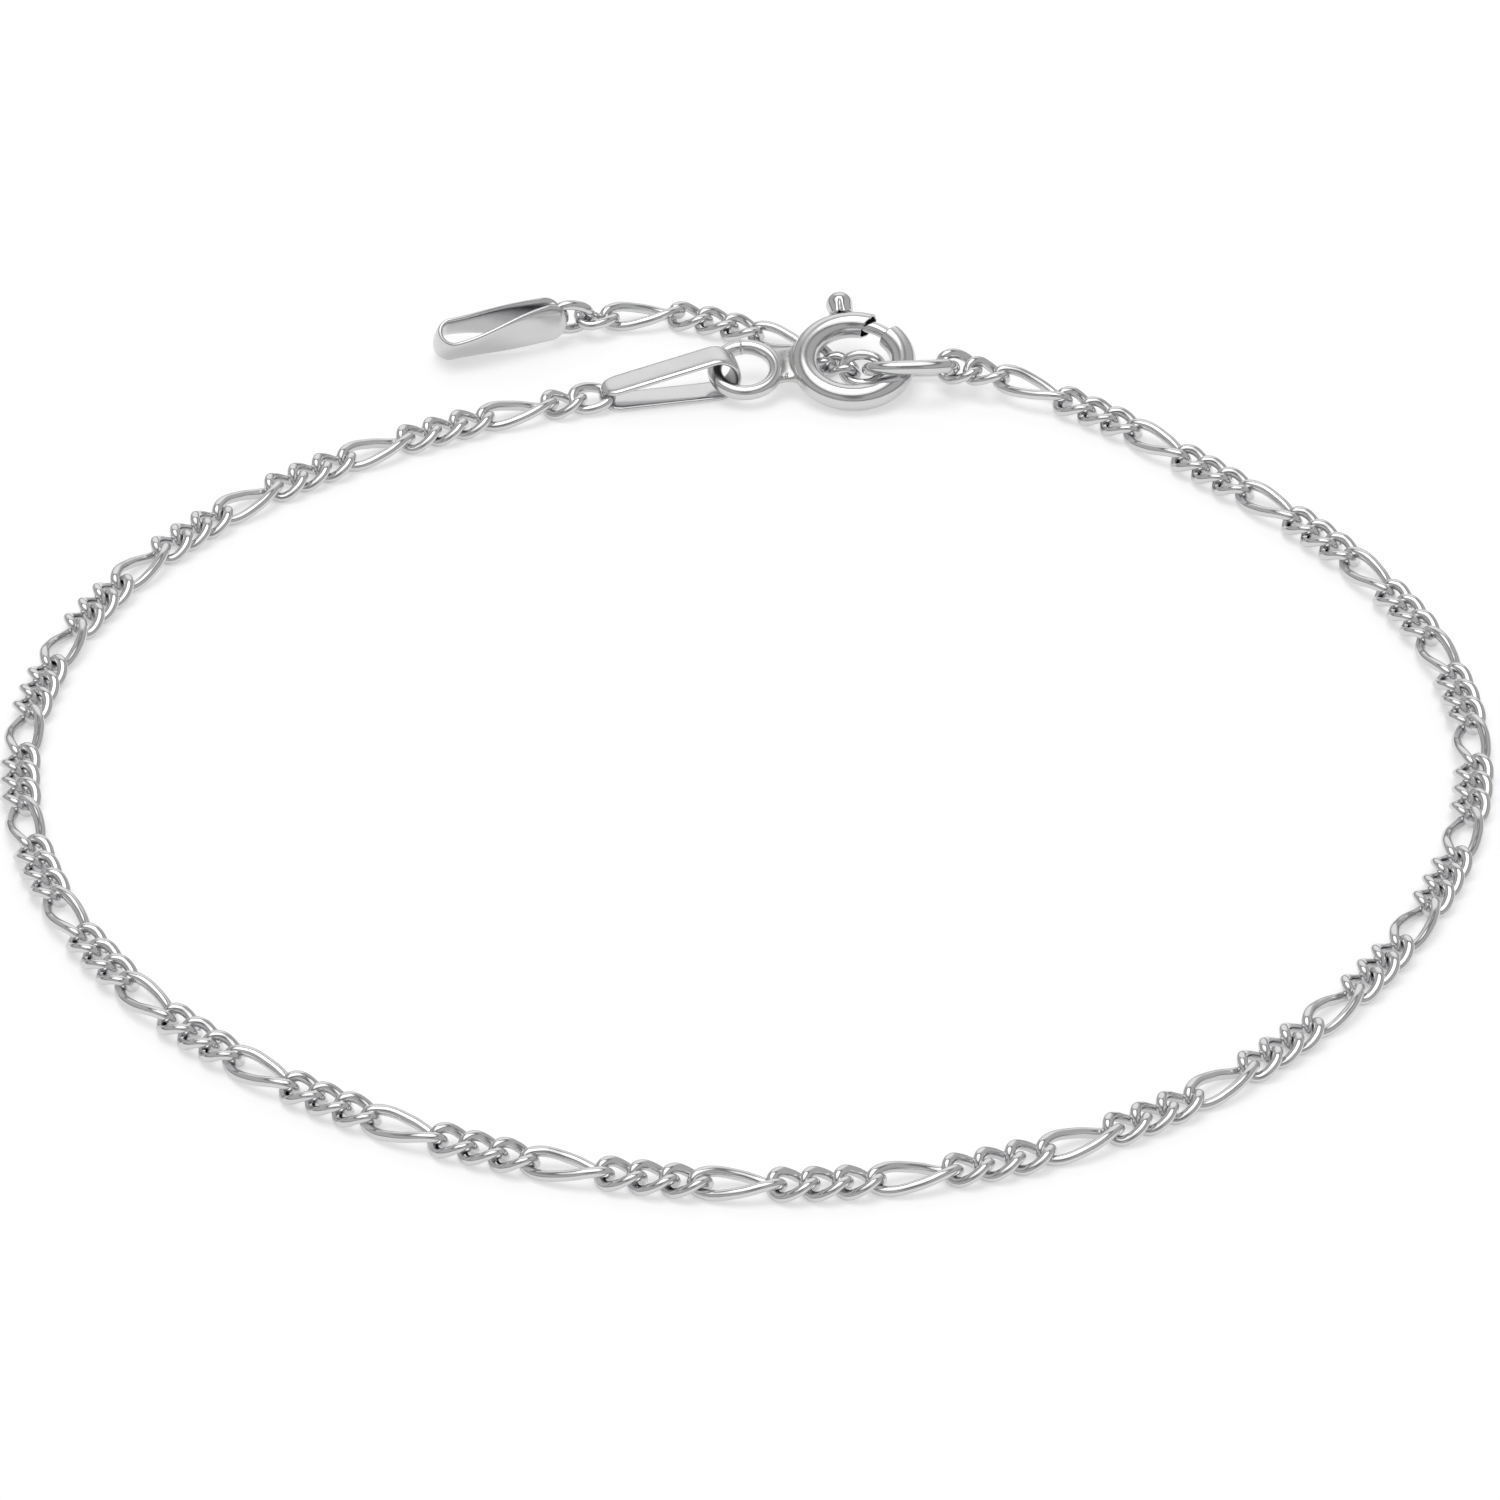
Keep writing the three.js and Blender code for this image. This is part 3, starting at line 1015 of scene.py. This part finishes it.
@dataclass
class SpringBolt:
    """The sprung bolt: a bent rod that closes the mouth, and the knob that draws it back."""

    plane: ClaspPlane
    ring_radius: float = 2.085
    rod_radius: float = 0.27
    rod_from: float = 35.5
    rod_to: float = 106.0
    rod_sides: int = 24
    rod_steps: int = 28
    # share of the rod that is its nose, and share of its section that is gone at the tip
    nose: float = 0.08
    nose_loss: float = 0.8
    knob_angle: float = 100.0
    knob_distance: float = 3.27
    knob_radius: float = 0.57
    neck_radius: float = 0.2
    # the collar that the ball stands on: distance from the ring's middle, radius
    collar: tuple[tuple[float, float], ...] = (
        (2.665, 0.34), (2.67, 0.44), (2.70, 0.49), (2.76, 0.51), (2.86, 0.52), (2.98, 0.532),
        (3.10, 0.545),
    )
    # its foot is hollowed to sit over the tube, and the hollow fades between these distances
    saddle: float = 0.585
    saddle_fades: tuple[float, float] = (2.67, 3.0)
    # share of the saddle's radius over which it is hollowed
    saddle_width: float = 0.9
    ball_steps: int = 22
    turn_steps: int = 72
    # the dent is a teardrop on the side that it faces: it starts below the ball's middle and rises
    dent_faces: tuple[float, float, float] = (0.0, -0.643, 0.766)
    dent_rises: tuple[float, float, float] = (0.0, 0.766, 0.643)
    dent_starts: float = -0.5
    dent_length: float = 1.05
    dent_depth: float = 0.13
    dent_half_width: float = 0.17
    dent_tip_half_width: float = 0.05
    dent_taper: float = 0.6
    dent_fullness: float = 0.7

    @property
    def rod_sweep(self) -> float:
        """How far round the rod goes, in radians."""
        return math.radians(self.rod_to - self.rod_from)

    def rod_point(self, round_angle: float, wire_angle: float, share: float) -> Vector:
        """Places a point of the rod, which narrows to a nose.

        Args:
            round_angle: angle round the ring from the nose.
            wire_angle: angle round the rod, 0 outwards.
            share: share of the rod's radius.

        Returns:
            The point in the clasp's plane.
        """
        behind_nose = min(1.0, (round_angle / self.rod_sweep) / self.nose)
        radius = share * self.rod_radius * math.sqrt(1 - (1 - behind_nose) ** 2 * self.nose_loss)
        angle = math.radians(self.rod_from) + round_angle
        reach = self.ring_radius + radius * math.cos(wire_angle)
        return polar(reach, angle, radius * math.sin(wire_angle))

    def dent(self, direction: Vector) -> float:
        """Gives how deep the teardrop dent is.

        Args:
            direction: direction from the ball's middle.

        Returns:
            The depth there.
        """
        share = (direction.dot(Vector(self.dent_rises)) - self.dent_starts) / self.dent_length
        if direction.dot(Vector(self.dent_faces)) < 0 or not 0 < share < 1:
            return 0.0
        half_width = self.dent_half_width * (1 - share) ** self.dent_taper + self.dent_tip_half_width
        across = min(1.0, abs(direction.x) / half_width)
        return self.dent_depth * (1 - across) * math.sin(math.pi * share) ** self.dent_fullness

    def knob(self) -> bmesh.types.BMesh:
        """Turns the knob on its axis, sets it at its angle, and presses its dent and saddle.

        Returns:
            The neck, collar and ball in the clasp's plane.
        """
        bm = bmesh.new()
        start = math.acos((self.knob_distance - self.collar[-1][0]) / self.knob_radius)
        foot = self.collar[0][0]
        profile = [(self.ring_radius, self.neck_radius), (foot, self.neck_radius), *self.collar]
        for step in range(1, self.ball_steps + 1):
            angle = math.pi - start - (math.pi - start) * step / self.ball_steps
            along = self.knob_distance + self.knob_radius * math.cos(angle)
            profile.append((along, self.knob_radius * math.sin(angle)))
        line = [bmesh.ops.create_vert(bm, co=(radius, 0, along))["vert"][0] for along, radius in profile]
        for before, after in zip(line, line[1:]):
            bm.edges.new((before, after))
        bmesh.ops.spin(
            bm, geom=bm.verts[:] + bm.edges[:], cent=(0, 0, 0), axis=(0, 0, 1), angle=TURN,
            steps=self.turn_steps, use_merge=True,
        )
        bmesh.ops.remove_doubles(bm, verts=bm.verts, dist=SLACK)
        bmesh.ops.holes_fill(bm, edges=[edge for edge in bm.edges if edge.is_boundary], sides=0)
        bmesh.ops.recalc_face_normals(bm, faces=bm.faces)
        heading = math.radians(self.knob_angle)
        turned = Matrix.Rotation(heading - TURN / 4, 4, "Z") @ Matrix.Rotation(-TURN / 4, 4, "X")
        bmesh.ops.transform(bm, matrix=turned, verts=bm.verts)
        middle = polar(1.0, heading) * self.knob_distance
        for vertex in bm.verts:
            direction = (vertex.co - middle).normalized()
            vertex.co -= direction * self.dent(direction)
            along = vertex.co.dot(middle.normalized())
            if along > foot - SLACK:
                aside = min(abs(vertex.co.z), self.saddle_width * self.saddle)
                hollow = self.saddle - math.sqrt(self.saddle ** 2 - aside ** 2)
                vertex.co -= middle.normalized() * hollow * (1 - smoothstep(along, *self.saddle_fades))
        return bm

    def build(self) -> None:
        """Builds the bolt."""
        bm = wire_ring(self.rod_sides, self.rod_steps, self.rod_sweep)
        reshape(bm, self.rod_point)
        join_into(bm, self.knob())
        self.plane.place(bm)
        finish_piece(bm, "clasp_bolt_and_knob", (WIRE_FINISH,), ("clasp_bolt",), Body.BOLT, Slot.BOLT)


@dataclass
class ConnectingRing:
    """The oval ring between the chain and the clasp, bent from wire, its ends butted together."""

    centre: tuple[float, float, float] = (6.77, 28.65, 1.13)
    oval: Oval = Oval(1.79, 1.28, 2.5)
    wire: float = 0.59
    # share by which the wire is thicker at the far end than in the middle
    swell: float = 0.05
    turn: float = 2.0
    lean: float = -33.4
    seam_angle: float = -38.0
    seam: float = 0.03
    # how far each end is bent aside at the seam, and how late the bend sets in: more is later
    step: float = 0.05
    step_power: int = 9
    wire_sides: int = 28
    steps: int = 120
    rounding: float = 0.02

    @property
    def sweep(self) -> float:
        """How far round the wire goes, in radians."""
        return TURN - self.seam

    def point(self, round_angle: float, wire_angle: float, share: float) -> Vector:
        """Places a point of the oval's wire.

        Args:
            round_angle: angle round the oval from its seam.
            wire_angle: angle round the wire, 0 outwards.
            share: share of the wire's radius.

        Returns:
            The point in the oval's own frame.
        """
        angle = math.radians(self.seam_angle) + round_angle + self.seam / 2
        radius = share * self.wire / 2 * (1 + self.swell * math.cos(angle))
        aside = self.step * power_of(2 * round_angle / self.sweep - 1, self.step_power)
        x, y = self.oval.point(angle, radius * math.cos(wire_angle) + aside)
        return Vector((x, y, radius * math.sin(wire_angle) + aside))

    def build(self, shift: Vector) -> None:
        """Builds the oval.

        Args:
            shift: from the loop's own frame to the bracelet's.
        """
        bm = wire_ring(self.wire_sides, self.steps, self.sweep)
        reshape(bm, self.point)
        soften(bm, self.rounding)
        place = Matrix.Translation(Vector(self.centre) + shift)
        turned = Matrix.Rotation(math.radians(self.turn), 4, "Z")
        leaned = Matrix.Rotation(math.radians(self.lean), 4, "X")
        bmesh.ops.transform(bm, matrix=place @ (turned @ leaned), verts=bm.verts)
        finish_piece(bm, "oval_ring", (WIRE_FINISH,), ("connecting_ring",))


# ---- tags -----------------------------------------------------------------------------------


@dataclass
class StripTag:
    """A strip folded into a long loop: a wide bend at x = 0, and a narrow, slimmer one beyond."""

    name: str
    node: str
    length: float
    wide_bend: float
    narrow_bend: float
    width: float
    # how far the strip is turned about the tag's length at each bend, in degrees
    wide_turn: float = 0.0
    narrow_turn: float = 0.0
    thickness: float = 0.30
    slim_width: float = 0.50
    # in narrow bend radii: how far before that bend's centre the slimming starts, and over what length
    slims_before: float = 0.75
    slims_over: float = 1.25
    # how square the strip's section is
    corner: float = 2.9
    strip_sides: int = 36
    steps: int = 220
    # whether the inside of the wide bend takes the dark grey material: painted shade
    shade_painted_inside: bool = False

    @property
    def span(self) -> float:
        """Distance between the centres of the two bends."""
        return self.length - self.wide_bend - self.narrow_bend

    @property
    def lean(self) -> float:
        """Angle between the straight walls and the line between the bends."""
        return math.asin((self.wide_bend - self.narrow_bend) / self.span)

    def middle_line(self, share: float) -> tuple[Vector, Vector]:
        """Walks once round the middle of the strip's thickness.

        Args:
            share: share of the way round.

        Returns:
            The point and the outward direction there.
        """
        tangent = TURN / 4 - self.lean
        wide, narrow = self.wide_bend - self.thickness / 2, self.narrow_bend - self.thickness / 2
        straight = self.span * math.cos(self.lean)
        parts = (wide * (TURN - 2 * tangent), straight, narrow * 2 * tangent, straight)
        distance = share * sum(parts)
        beyond = Vector((self.span, 0, 0))
        if distance < parts[0]:
            out = polar(1.0, tangent + distance / wide)
            return out * wide, out
        distance -= parts[0]
        if distance < parts[1]:
            out = polar(1.0, -tangent)
            return (out * wide).lerp(beyond + out * narrow, distance / parts[1]), out
        distance -= parts[1]
        if distance < parts[2]:
            out = polar(1.0, -tangent + distance / narrow)
            return beyond + out * narrow, out
        distance -= parts[2]
        out = polar(1.0, tangent)
        return (beyond + out * narrow).lerp(out * wide, min(distance / parts[3], 1.0)), out

    def width_at(self, x: float) -> float:
        """Gives the strip's width, which keeps full and then rounds in towards the narrow bend.

        Args:
            x: place along the tag.

        Returns:
            The width there.
        """
        start = self.slims_before * self.narrow_bend
        reach = (x - self.span + start) / (self.slims_over * self.narrow_bend)
        if reach <= 0:
            return self.width
        rounded = math.sqrt(max(0.0, 1 - min(reach, 1.0) ** 2))
        return self.slim_width + (self.width - self.slim_width) * rounded

    def point(self, round_angle: float, wire_angle: float, share: float) -> Vector:
        """Places a point of the strip's surface.

        Args:
            round_angle: angle round the tag, of which equal parts go to equal lengths of strip.
            wire_angle: angle round the strip's section, 0 outwards.
            share: share of the section's radius, which is always whole; not used.

        Returns:
            The point in the tag's own frame.
        """
        middle, out = self.middle_line(round_angle / TURN)
        power = 2 / self.corner
        place = middle + out * (self.thickness / 2 * power_of(math.cos(wire_angle), power))
        aside = self.width_at(middle.x) / 2 * power_of(math.sin(wire_angle), power)
        eased = smoothstep(place.x, 0.0, self.span)
        turn = math.radians(self.wide_turn + (self.narrow_turn - self.wide_turn) * eased)
        cosine, sine = math.cos(turn), math.sin(turn)
        return Vector((place.x, place.y * cosine - aside * sine, place.y * sine + aside * cosine))

    def build(self, place: Matrix) -> None:
        """Builds the tag.

        Args:
            place: from the tag's own frame, its wide bend at the origin, to the bracelet's.
        """
        bm = wire_ring(self.strip_sides, self.steps)
        inner_reach = 1 - UNIT_WIRE / 3
        inside = [face for face in bm.faces if math.hypot(*face.calc_center_median().xy) < inner_reach]
        reshape(bm, self.point)
        # inner faces within the wide bend get the dark grey material: painted shade
        for face in inside:
            if self.shade_painted_inside and face.calc_center_median().x < -self.thickness:
                face.material_index = 1
        bmesh.ops.recalc_face_normals(bm, faces=bm.faces)
        bmesh.ops.transform(bm, matrix=place, verts=bm.verts)
        finish_piece(bm, self.name, (STRIP_FINISH, INSIDE_PAINTED_SHADE), (self.node,))


def build_tags(shift: Vector) -> None:
    """Builds the tag by the clasp, on its face, and the one at the free end, on its edge.

    Args:
        shift: from the loop's own frame to the bracelet's.
    """
    by_clasp = StripTag(
        name="strip_tag_by_clasp", node="tag_link", length=6.07, wide_bend=1.02, narrow_bend=0.52,
        width=1.4, shade_painted_inside=True,
    )
    headed = Matrix.Rotation(math.radians(192), 4, "Z")
    laid = Matrix.Rotation(TURN / 4, 4, "X") @ Matrix.Rotation(-by_clasp.lean, 4, "Z")
    by_clasp.build(Matrix.Translation(Vector((-1.43, 28.44, 1.02)) + shift) @ headed @ laid)
    at_end = StripTag(
        name="strip_tag_at_end", node="end_tag", length=5.94, wide_bend=0.72, narrow_bend=0.58,
        width=1.62, wide_turn=38.0, narrow_turn=-8.0,
    )
    headed = Matrix.Rotation(math.radians(19.4), 4, "Z")
    tipped = Matrix.Rotation(math.radians(-2.0), 4, "Y")
    at_end.build(Matrix.Translation(Vector((-12.64, 31.19, 1.062)) + shift) @ headed @ tipped)


# ---- stage ----------------------------------------------------------------------------------


class Patch(Enum):
    """The light tent's patches, each a smooth change of light about a direction.

    The cosines between which it changes, and the light at the first and from the second on.
    """

    OPENING = (0.955, 0.99, 1.0, 0.45)
    WALL = (0.03, 0.22, 0.16, 0.56)
    SHADE = (0.68, 0.78, 1.0, 0.4)
    ROOF = (0.82, 0.89, 0.0, 1.15)
    BACK = (0.86, 0.97, 0.0, 0.55)


@dataclass
class Studio:
    """A white sweep under a soft tent of light, seen through a long lens."""

    elevation: float = 33.4
    lens_mm: float = 216.0
    sensor_mm: float = 36.0
    eye: tuple[float, float, float] = (0.0084, -296.28, 196.16)
    # lengths from here on are metres
    clip_start: float = 0.01
    clip_end: float = 20.0
    floor_half: float = 3.0
    floor_colour: str = "CECECE"
    floor_glow: float = 0.4575
    lamp_size: float = 1.3
    lamp_watts: float = 9.3
    lamp_place: tuple[float, float, float] = (-0.25, 0.1, 2.2)
    roof_towards: tuple[float, float, float] = (-0.12, -0.10, 0.98)
    back_towards: tuple[float, float, float] = (0.0, 0.84, 0.54)

    def build(self, shift: Vector) -> None:
        """Makes the floor, the light and the camera.

        Args:
            shift: from the loop's own frame to the bracelet's.
        """
        self.floor()
        self.sky()
        self.lamp()
        self.camera(shift)

    def camera(self, shift: Vector) -> None:
        """Sets up the camera.

        Args:
            shift: from the loop's own frame to the bracelet's.
        """
        data = bpy.data.cameras.new("camera")
        data.lens = self.lens_mm
        data.sensor_width = self.sensor_mm
        data.clip_start = self.clip_start
        data.clip_end = self.clip_end
        camera = bpy.data.objects.new("camera", data)
        bpy.context.scene.collection.objects.link(camera)
        camera.location = (Vector(self.eye) + shift) * MM
        camera.rotation_euler = (math.radians(90 - self.elevation), 0, 0)
        bpy.context.scene.camera = camera
        bpy.context.scene.view_settings.view_transform = "Standard"

    def floor(self) -> None:
        """Lays a sheet of matt white acrylic, lit a little from below so that shadows stay faint."""
        bm = bmesh.new()
        bmesh.ops.create_grid(bm, x_segments=1, y_segments=1, size=self.floor_half)
        mesh = bpy.data.meshes.new("floor")
        bm.to_mesh(mesh)
        bm.free()
        floor = bpy.data.objects.new("floor", mesh)
        bpy.context.scene.collection.objects.link(floor)
        acrylic = bpy.data.materials.new("matt_white_acrylic")
        acrylic.use_nodes = True
        tree = acrylic.node_tree
        tree.nodes.clear()
        lit = add_node(tree, "ShaderNodeBsdfDiffuse", {}, {"Color": linear(self.floor_colour)})
        glow = add_node(tree, "ShaderNodeEmission", {}, {"Strength": self.floor_glow})
        both = add_node(tree, "ShaderNodeAddShader", {}, {
            0: lit.outputs["BSDF"], 1: glow.outputs["Emission"],
        })
        add_node(tree, "ShaderNodeOutputMaterial", {}, {"Surface": both.outputs["Shader"]})
        mesh.materials.append(acrylic)

    def sky(self) -> None:
        """Surrounds the scene with a light tent that is darker towards its opening."""
        world = bpy.data.worlds.new("light_tent")
        bpy.context.scene.world = world
        world.use_nodes = True
        tree = world.node_tree
        tree.nodes.clear()
        direction = add_node(tree, "ShaderNodeTexCoord").outputs["Generated"]
        tilt = math.radians(self.elevation)
        towards = {
            Patch.OPENING: Vector((0, -math.cos(tilt), math.sin(tilt))),
            Patch.WALL: Vector((0, 0, 1)),
            Patch.SHADE: Vector(self.roof_towards).normalized(),
            Patch.ROOF: Vector(self.roof_towards).normalized(),
            Patch.BACK: Vector(self.back_towards).normalized(),
        }
        light: dict[Patch | str, bpy.types.NodeSocket] = {}
        for patch in Patch:
            facing = add_node(tree, "ShaderNodeVectorMath", {"operation": "DOT_PRODUCT"}, {
                0: direction, 1: towards[patch],
            })
            start, end, before, after = patch.value
            light[patch] = add_node(tree, "ShaderNodeMapRange", {"interpolation_type": "SMOOTHSTEP"}, {
                "Value": facing.outputs["Value"], "From Min": start, "From Max": end,
                "To Min": before, "To Max": after,
            }).outputs["Result"]
        for name, operation, first, second in (
            ("shaded wall", "MULTIPLY", Patch.WALL, Patch.SHADE),
            ("lamps", "ADD", Patch.ROOF, Patch.BACK),
            ("tent", "ADD", "shaded wall", "lamps"),
            ("strength", "MULTIPLY", Patch.OPENING, "tent"),
        ):
            light[name] = add_node(tree, "ShaderNodeMath", {"operation": operation}, {
                0: light[first], 1: light[second],
            }).outputs["Value"]
        glow = add_node(tree, "ShaderNodeBackground", {}, {
            "Color": linear("FFFFFF"), "Strength": light["strength"],
        })
        add_node(tree, "ShaderNodeOutputWorld", {}, {"Surface": glow.outputs["Background"]})

    def lamp(self) -> None:
        """Hangs one soft box over the table."""
        data = bpy.data.lights.new("soft_box", "AREA")
        data.shape = "SQUARE"
        data.size = self.lamp_size
        data.energy = self.lamp_watts
        lamp = bpy.data.objects.new("soft_box", data)
        bpy.context.scene.collection.objects.link(lamp)
        lamp.location = self.lamp_place
        lamp.rotation_euler = (-lamp.location).to_track_quat("-Z", "Y").to_euler()


def main() -> None:
    """Builds the bracelet and its stage."""
    logging.basicConfig(level=logging.INFO, format="%(name)s %(message)s")
    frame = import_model()
    hinge = frame["joints"][0]
    clasp_centre = Vector(hinge["pos_m"]) / MM
    shift = clasp_centre - Vector(CLASP_IN_LOOP)
    chance = random.Random(SEED)
    WristChain().build(shift, chance)
    Extender().build(shift, chance)
    plane = ClaspPlane(clasp_centre, Vector(hinge["axis"]))
    ring = SpringRing(plane)
    ring.build()
    EndLoop(plane, ring).build(chance)
    SpringBolt(plane).build()
    ConnectingRing().build(shift)
    build_tags(shift)
    Studio().build(shift)


if __name__ == "__main__":
    main()
